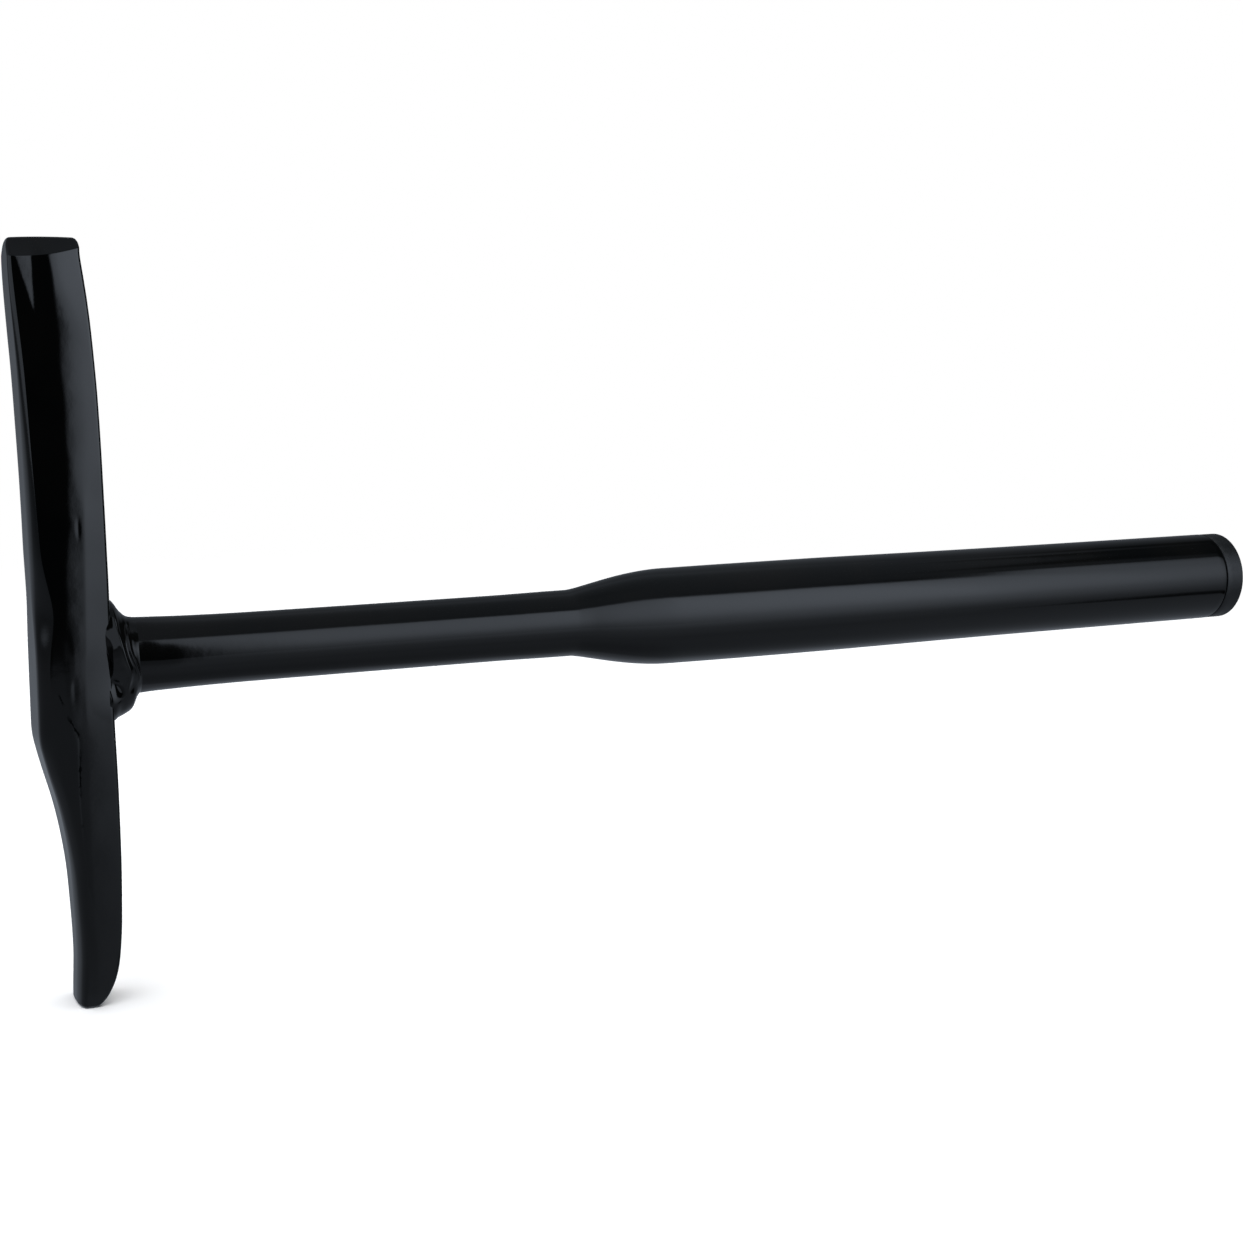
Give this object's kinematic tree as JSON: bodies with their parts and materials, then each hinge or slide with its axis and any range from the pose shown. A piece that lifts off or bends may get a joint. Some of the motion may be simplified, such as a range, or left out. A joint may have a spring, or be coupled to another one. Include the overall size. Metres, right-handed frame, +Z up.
{
  "type": "chipping hammer",
  "caption": "All-steel chipping hammer: double-ended forged head welded to a swaged tube handle with a plugged end, black painted.",
  "frame": {"origin": "on the head's back face, where the handle's axis meets it", "axes": "+X along the handle from the head to the plug, +Z up the head towards the edge that is in line with the handle, Y across the head"},
  "size_m": [0.3495, 0.0256, 0.1818],
  "materials": {
    "head_paint": "gloss black paint over forged steel",
    "tube_paint": "gloss black paint over drawn steel tube",
    "weld_paint": "gloss black paint over rippled weld metal",
    "plug_plastic": "satin black moulded plastic"
  },
  "bodies": {
    "root": {"hammer_head": "head_paint", "handle_tube": "tube_paint", "weld_run_near": "weld_paint", "weld_run_far": "weld_paint", "end_plug": "plug_plastic"}
  },
  "joints": []
}
